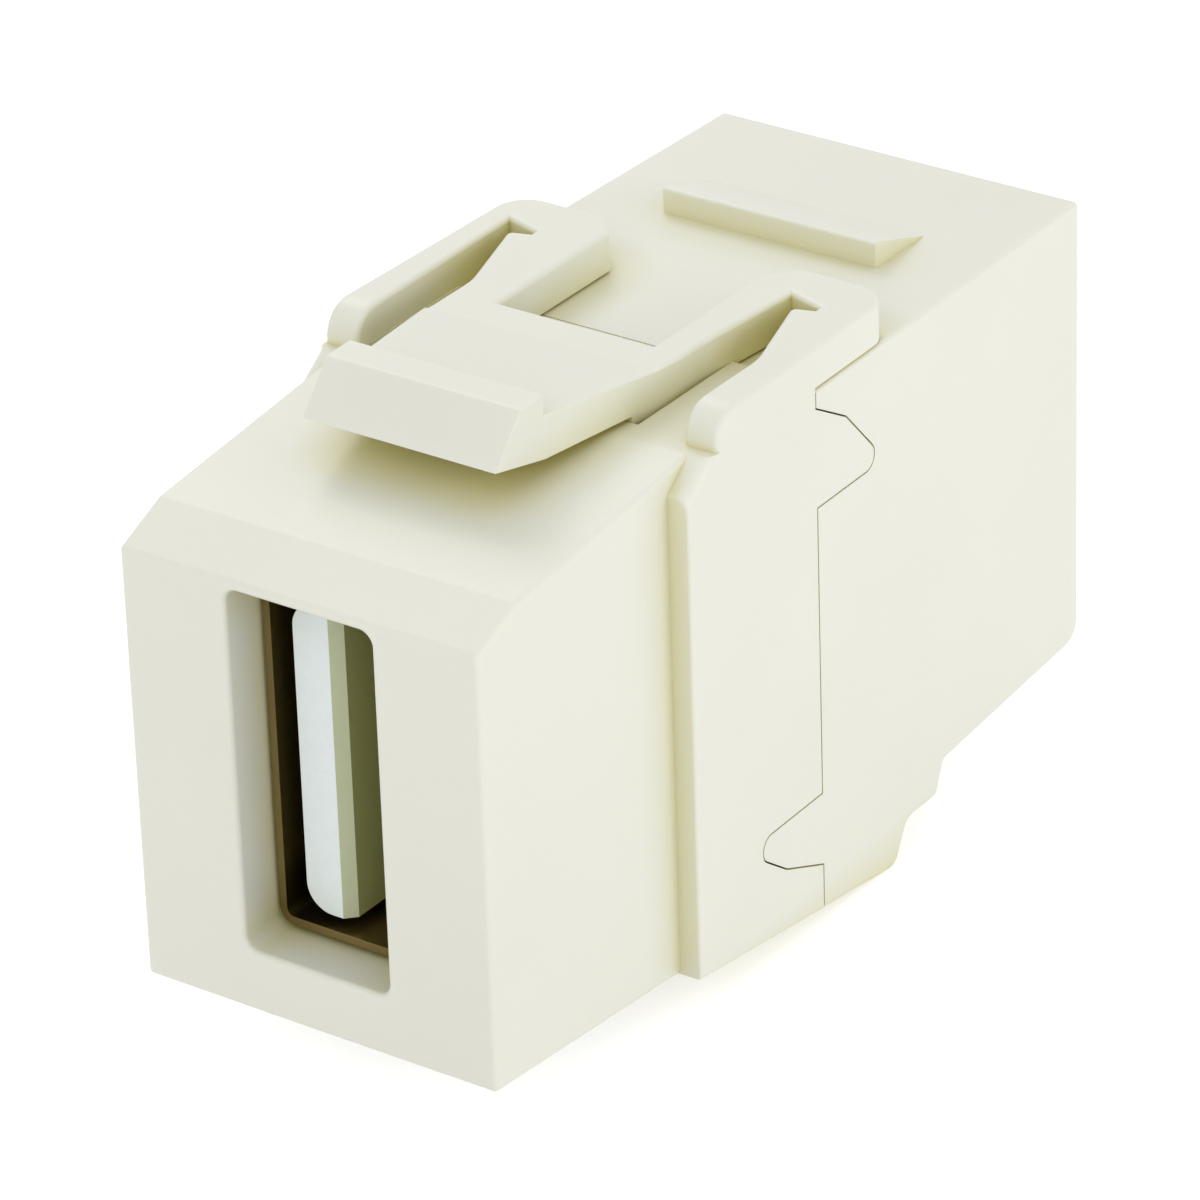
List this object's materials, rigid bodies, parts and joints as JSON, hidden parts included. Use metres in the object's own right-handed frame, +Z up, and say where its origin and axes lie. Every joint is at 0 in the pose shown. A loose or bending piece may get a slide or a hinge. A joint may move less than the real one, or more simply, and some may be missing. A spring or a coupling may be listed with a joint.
{
  "type": "usb keystone coupler",
  "caption": "Ivory snap-in keystone module with a female USB type A port at each end, a flexing latch on top, a stop shoulder on each side and a lug under the rear half.",
  "frame": {"origin": "where the common axis of the two ports crosses the plane of the two stop shoulders that rest against the back of the panel", "axes": "+Y from the panel side to the cable side, +Z up to the latch, +X to the right seen from the front"},
  "size_m": [0.0162, 0.036, 0.0237],
  "materials": {
    "ivory_plastic": "satin moulded",
    "white_plastic": "satin moulded",
    "plated_steel": "nickel plated",
    "plated_contact": "gold plated",
    "board_laminate": "solder mask"
  },
  "bodies": {
    "root": {"front_housing": "ivory_plastic", "rear_housing": "ivory_plastic", "circuit_board": "board_laminate", "front_port_shell": "plated_steel", "front_port_insulator": "white_plastic", "front_port_contact_1": "plated_contact", "front_port_contact_2": "plated_contact", "front_port_contact_3": "plated_contact", "front_port_contact_4": "plated_contact", "rear_port_shell": "plated_steel", "rear_port_insulator": "white_plastic", "rear_port_contact_1": "plated_contact", "rear_port_contact_2": "plated_contact", "rear_port_contact_3": "plated_contact", "rear_port_contact_4": "plated_contact"}
  },
  "joints": []
}
